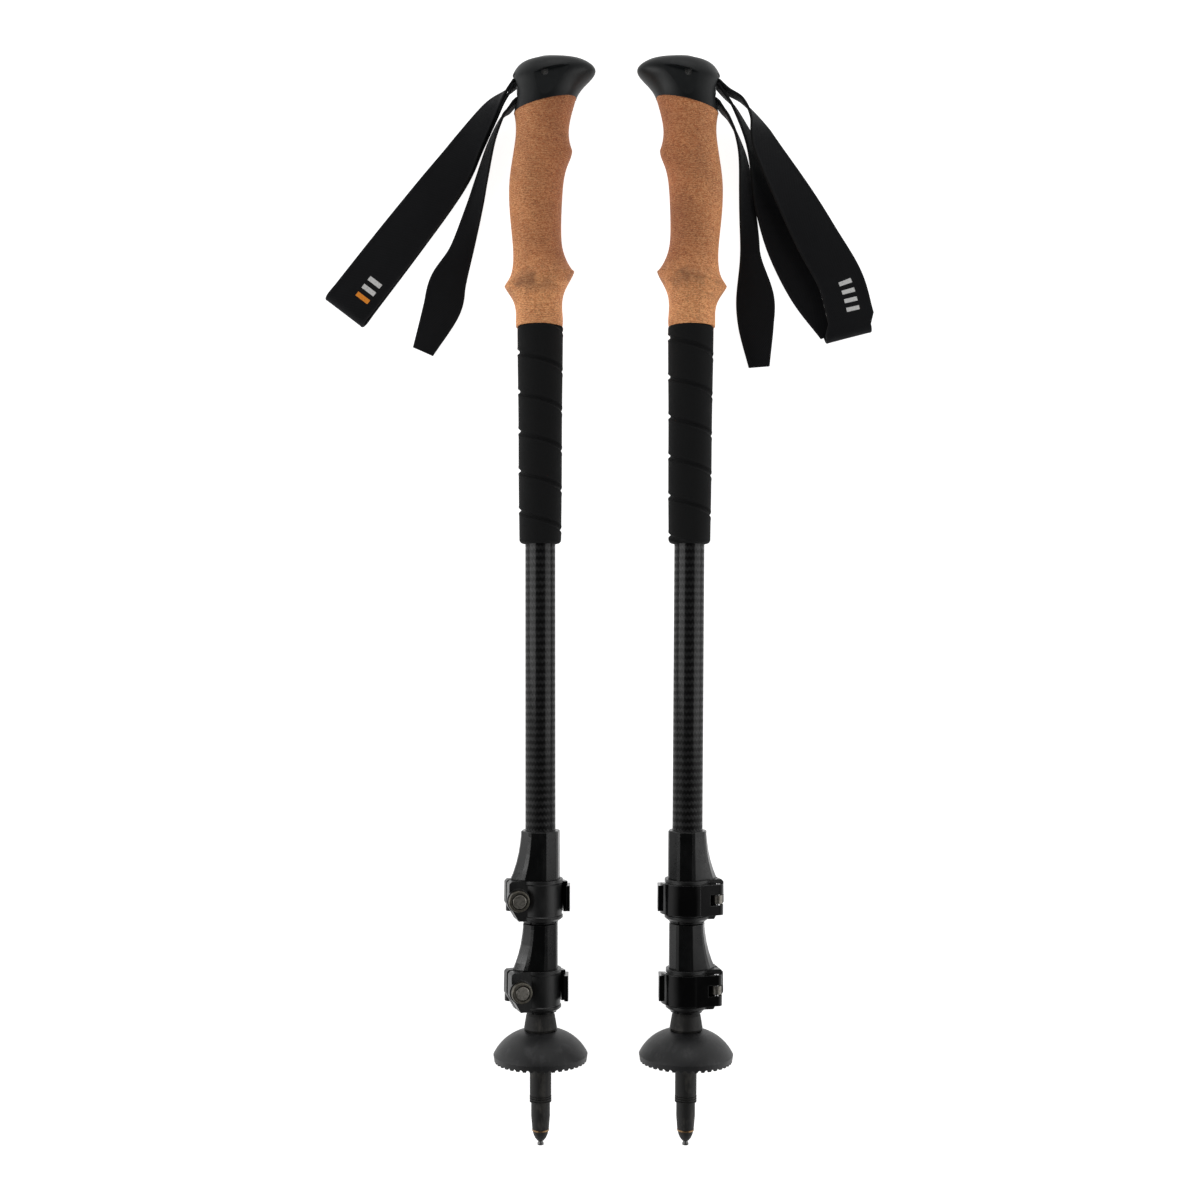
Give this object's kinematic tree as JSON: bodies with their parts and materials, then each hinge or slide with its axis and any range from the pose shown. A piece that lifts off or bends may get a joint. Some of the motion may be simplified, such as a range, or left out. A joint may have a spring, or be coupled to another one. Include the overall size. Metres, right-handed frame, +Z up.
{
  "type": "trekking poles",
  "caption": "A pair of three-section carbon trekking poles with cork grips, foam extensions, wrist straps, flick-lock clamps, baskets and carbide tips, packed down and lying side by side.",
  "frame": {"origin": "on the ground, under the middle of the pair's bounding box", "axes": "+Y from tips to grips, +X from the left pole to the right pole, +Z up from the ground"},
  "size_m": [0.3334, 0.6496, 0.056],
  "materials": {
    "cork": "fine pressed cork composite, turned and lightly sanded",
    "head_plastic": "soft satin black moulding",
    "foam": "matt closed-cell foam",
    "carbon": "woven carbon under clear lacquer",
    "clamp_plastic": "satin black nylon",
    "lever_plastic": "polished black nylon",
    "steel": "plated steel",
    "brass": "dull brass",
    "knob_alloy": "dark anodised",
    "tip_plastic": "scuffed grey-black moulding",
    "webbing": "fine-woven black webbing",
    "wedge_plastic": "grey moulding"
  },
  "bodies": {
    "left_grip": {"left_grip_head": "head_plastic", "left_cork_grip": "cork", "left_foam_grip": "foam", "left_strap_pin": "steel", "left_strap_wedge": "wedge_plastic", "left_strap_turn": "webbing", "left_upper_tube": "carbon", "left_upper_sleeve": "clamp_plastic", "left_upper_collar": "clamp_plastic", "left_upper_tension_bolt": "steel", "left_upper_lever_pivot": "brass"},
    "left_middle": {"left_middle_tube": "carbon", "left_middle_bushing": "clamp_plastic", "left_lower_sleeve": "clamp_plastic", "left_lower_collar": "clamp_plastic", "left_lower_tension_bolt": "steel", "left_lower_lever_pivot": "brass"},
    "left_lower": {"left_lower_tube": "carbon", "left_lower_bushing": "clamp_plastic", "left_tip_holder": "tip_plastic", "left_tip_ring": "brass", "left_carbide_tip": "steel"},
    "left_basket_body": {"left_basket": "tip_plastic"},
    "left_upper_lever_body": {"left_upper_lever": "lever_plastic"},
    "left_lower_lever_body": {"left_lower_lever": "lever_plastic"},
    "left_upper_knob_body": {"left_upper_tension_knob": "knob_alloy"},
    "left_lower_knob_body": {"left_lower_tension_knob": "knob_alloy"},
    "left_strap": {"left_strap_loop": "webbing", "left_strap_tail": "webbing"},
    "right_grip": {"right_grip_head": "head_plastic", "right_cork_grip": "cork", "right_foam_grip": "foam", "right_strap_pin": "steel", "right_strap_wedge": "wedge_plastic", "right_strap_turn": "webbing", "right_upper_tube": "carbon", "right_upper_sleeve": "clamp_plastic", "right_upper_collar": "clamp_plastic", "right_upper_tension_bolt": "steel", "right_upper_lever_pivot": "brass"},
    "right_middle": {"right_middle_tube": "carbon", "right_middle_bushing": "clamp_plastic", "right_lower_sleeve": "clamp_plastic", "right_lower_collar": "clamp_plastic", "right_lower_tension_bolt": "steel", "right_lower_lever_pivot": "brass"},
    "right_lower": {"right_lower_tube": "carbon", "right_lower_bushing": "clamp_plastic", "right_tip_holder": "tip_plastic", "right_tip_ring": "brass", "right_carbide_tip": "steel"},
    "right_basket_body": {"right_basket": "tip_plastic"},
    "right_upper_lever_body": {"right_upper_lever": "lever_plastic"},
    "right_lower_lever_body": {"right_lower_lever": "lever_plastic"},
    "right_upper_knob_body": {"right_upper_tension_knob": "knob_alloy"},
    "right_lower_knob_body": {"right_lower_tension_knob": "knob_alloy"},
    "right_strap": {"right_strap_loop": "webbing", "right_strap_tail": "webbing"}
  },
  "joints": [
    {"name": "left_middle_slide", "type": "slide", "parent": "left_grip", "child": "left_middle", "axis": [0.0012, -0.9998, 0.0196], "range_m": [0, 0.33]},
    {"name": "left_lower_slide", "type": "slide", "parent": "left_middle", "child": "left_lower", "axis": [0.0012, -0.9998, 0.0196], "range_m": [0, 0.3331]},
    {"name": "left_basket_turn", "type": "hinge", "parent": "left_lower", "child": "left_basket_body", "pos_m": [-0.03536, -0.2747, 0.02807], "axis": [-0.0012, 0.9998, -0.0196], "continuous": true},
    {"name": "left_upper_lever_flick", "type": "hinge", "parent": "left_grip", "child": "left_upper_lever_body", "pos_m": [-0.05319, -0.17816, 0.01996], "axis": [-0.0012, 0.9998, -0.0196], "range_deg": [0, 150]},
    {"name": "left_upper_knob_turn", "type": "hinge", "parent": "left_grip", "child": "left_upper_knob_body", "pos_m": [-0.04828, -0.1778, 0.0383], "axis": [0.2588, 0.0192, 0.9657], "continuous": true},
    {"name": "left_lower_lever_flick", "type": "hinge", "parent": "left_middle", "child": "left_lower_lever_body", "pos_m": [-0.05368, -0.23121, 0.02288], "axis": [-0.0012, 0.9998, -0.0196], "range_deg": [0, 150]},
    {"name": "left_lower_knob_turn", "type": "hinge", "parent": "left_middle", "child": "left_lower_knob_body", "pos_m": [-0.04688, -0.23086, 0.04061], "axis": [0.3583, 0.0187, 0.9334], "continuous": true},
    {"name": "left_strap_swing", "type": "hinge", "parent": "left_grip", "child": "left_strap", "pos_m": [-0.05257, 0.30937, 0.01665], "axis": [0, 0, -1], "range_deg": [-6, 40]},
    {"name": "right_middle_slide", "type": "slide", "parent": "right_grip", "child": "right_middle", "axis": [-0.0079, -0.9998, 0.0196], "range_m": [0, 0.33]},
    {"name": "right_lower_slide", "type": "slide", "parent": "right_middle", "child": "right_lower", "axis": [-0.0079, -0.9998, 0.0196], "range_m": [0, 0.3331]},
    {"name": "right_basket_turn", "type": "hinge", "parent": "right_lower", "child": "right_basket_body", "pos_m": [0.05109, -0.2747, 0.02807], "axis": [0.0079, 0.9998, -0.0196], "continuous": true},
    {"name": "right_upper_lever_flick", "type": "hinge", "parent": "right_grip", "child": "right_upper_lever_body", "pos_m": [0.06957, -0.17804, 0.03241], "axis": [0.0079, 0.9998, -0.0196], "range_deg": [0, 150]},
    {"name": "right_upper_knob_turn", "type": "hinge", "parent": "right_grip", "child": "right_upper_knob_body", "pos_m": [0.06465, -0.17836, 0.01406], "axis": [-0.259, -0.0169, -0.9657], "continuous": true},
    {"name": "right_lower_lever_flick", "type": "hinge", "parent": "right_middle", "child": "right_lower_lever_body", "pos_m": [0.06867, -0.2311, 0.03467], "axis": [0.0079, 0.9998, -0.0196], "range_deg": [0, 150]},
    {"name": "right_lower_knob_turn", "type": "hinge", "parent": "right_middle", "child": "right_lower_knob_body", "pos_m": [0.06504, -0.23144, 0.01602], "axis": [-0.191, -0.0177, -0.9814], "continuous": true},
    {"name": "right_strap_swing", "type": "hinge", "parent": "right_grip", "child": "right_strap", "pos_m": [0.07218, 0.30924, 0.01665], "axis": [0, 0, 1], "range_deg": [-6, 40]},
    {"name": "right_pole_lift", "type": "slide", "parent": "left_grip", "child": "right_grip", "axis": [0, 0, 1], "range_m": [0, 0.15]}
  ]
}
